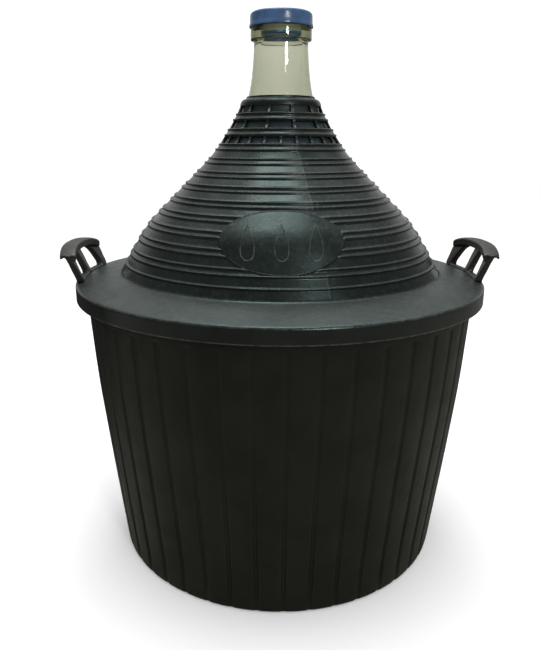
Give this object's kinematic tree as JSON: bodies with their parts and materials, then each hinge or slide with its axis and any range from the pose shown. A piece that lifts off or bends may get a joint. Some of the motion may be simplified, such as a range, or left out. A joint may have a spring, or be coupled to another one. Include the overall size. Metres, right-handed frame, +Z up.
{
  "type": "glass carboy",
  "caption": "Large glass carboy with stopper and press-on cap, standing in a slatted plastic basket under a bell-shaped ribbed cover with carrying handles.",
  "frame": {"origin": "centre of the basket's base, on the ground", "axes": "+Z up along the bottle's axis, -Y the front with the oval plaque, handles at +X and -X"},
  "size_m": [0.5356, 0.5054, 0.6556],
  "materials": {
    "basket_plastic": "satin",
    "cover_plastic": "satin",
    "handle_plastic": "satin",
    "bottle_glass": "clear",
    "stopper_plastic": "gloss",
    "cap_plastic": "gloss"
  },
  "bodies": {
    "basket": {"basket": "basket_plastic"},
    "bottle": {"glass_carboy": "bottle_glass"},
    "cover": {"shoulder_cover": "cover_plastic", "handle_left": "handle_plastic", "handle_right": "handle_plastic"},
    "stopper": {"inner_stopper": "stopper_plastic"},
    "cap": {"outer_cap": "cap_plastic"}
  },
  "joints": [
    {"name": "lift_bottle", "type": "slide", "parent": "basket", "child": "bottle", "axis": [0, 0, 1], "range_m": [0, 0.36]},
    {"name": "lift_cover", "type": "slide", "parent": "bottle", "child": "cover", "axis": [0, 0, 1], "range_m": [0, 0.33]},
    {"name": "pull_stopper", "type": "slide", "parent": "bottle", "child": "stopper", "axis": [0, 0, 1], "range_m": [0, 0.05]},
    {"name": "pull_cap", "type": "slide", "parent": "stopper", "child": "cap", "axis": [0, 0, 1], "range_m": [0, 0.06]}
  ]
}
